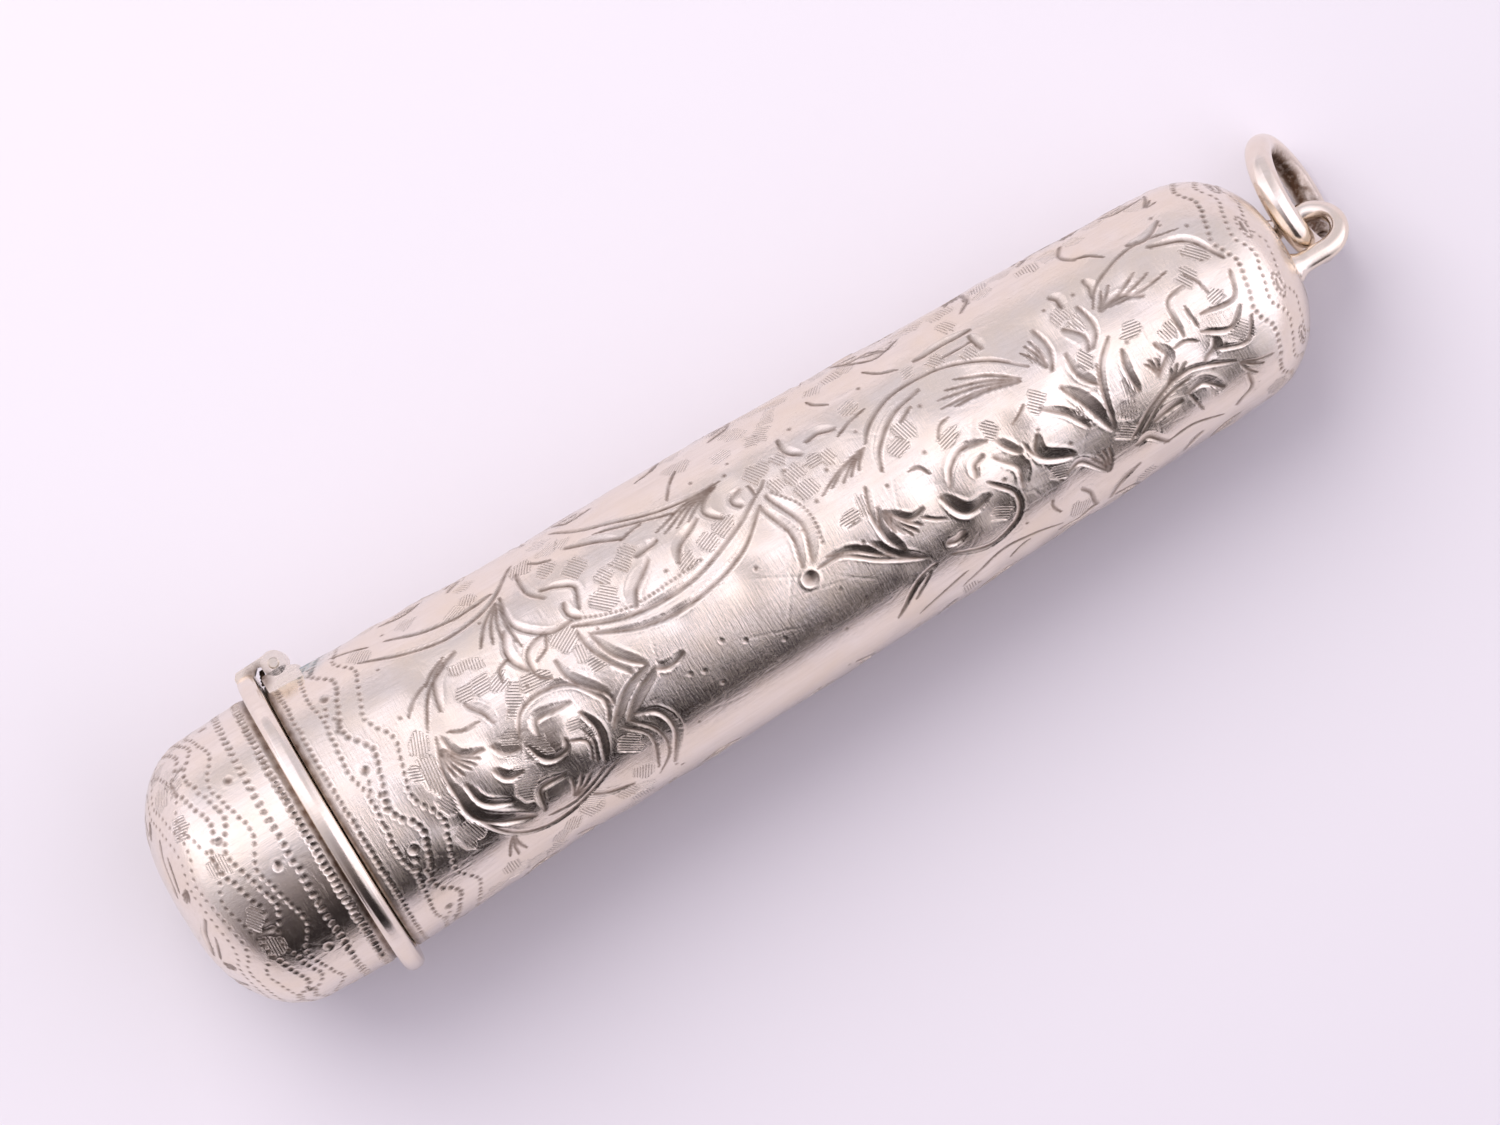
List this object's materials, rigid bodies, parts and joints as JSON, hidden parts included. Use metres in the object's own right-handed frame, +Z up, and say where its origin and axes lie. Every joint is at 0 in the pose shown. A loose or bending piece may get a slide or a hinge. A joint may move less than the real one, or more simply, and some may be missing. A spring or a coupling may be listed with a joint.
{
  "type": "needle case",
  "caption": "Round tapering metal case with a hinged domed lid, a raised rim band, scroll-engraved walls, an inner mouth sleeve, and a ring hanging from a wire loop at the far end.",
  "frame": {"origin": "on the table under the middle of the whole case, lying on its side with the lid shut", "axes": "+X from the lid end towards the suspension loop, +Z up, +Y towards the hinge"},
  "size_m": [0.0794, 0.0202, 0.0198],
  "materials": {
    "engraved_silver": "polished silver with bright-cut engraving and brown tarnish in the cuts",
    "silver": "polished silver, lightly worn",
    "gilt": "pale gilding, satin",
    "pin_wire": "drawn silver wire, dull"
  },
  "bodies": {
    "case_body": {"body_tube": "engraved_silver", "end_dome": "engraved_silver", "mouth_collar": "gilt", "hinge_bearer": "silver", "knuckle_upper": "silver", "knuckle_lower": "silver", "hinge_pin": "pin_wire", "suspension_loop": "silver"},
    "lid": {"lid_dome": "engraved_silver", "lid_rim_band": "silver", "lid_knuckle": "silver"},
    "ring": {"jump_ring": "silver"}
  },
  "joints": [
    {"name": "lid_hinge", "type": "hinge", "parent": "case_body", "child": "lid", "pos_m": [-0.02757, 0.00937, 0.0098], "axis": [-0.0473, 0, -0.9989], "range_deg": [0, 120]},
    {"name": "ring_swing", "type": "hinge", "parent": "case_body", "child": "ring", "pos_m": [0.03676, -0.00022, 0.00675], "axis": [0.2244, -0.7547, -0.6165], "range_deg": [0, 138]}
  ]
}
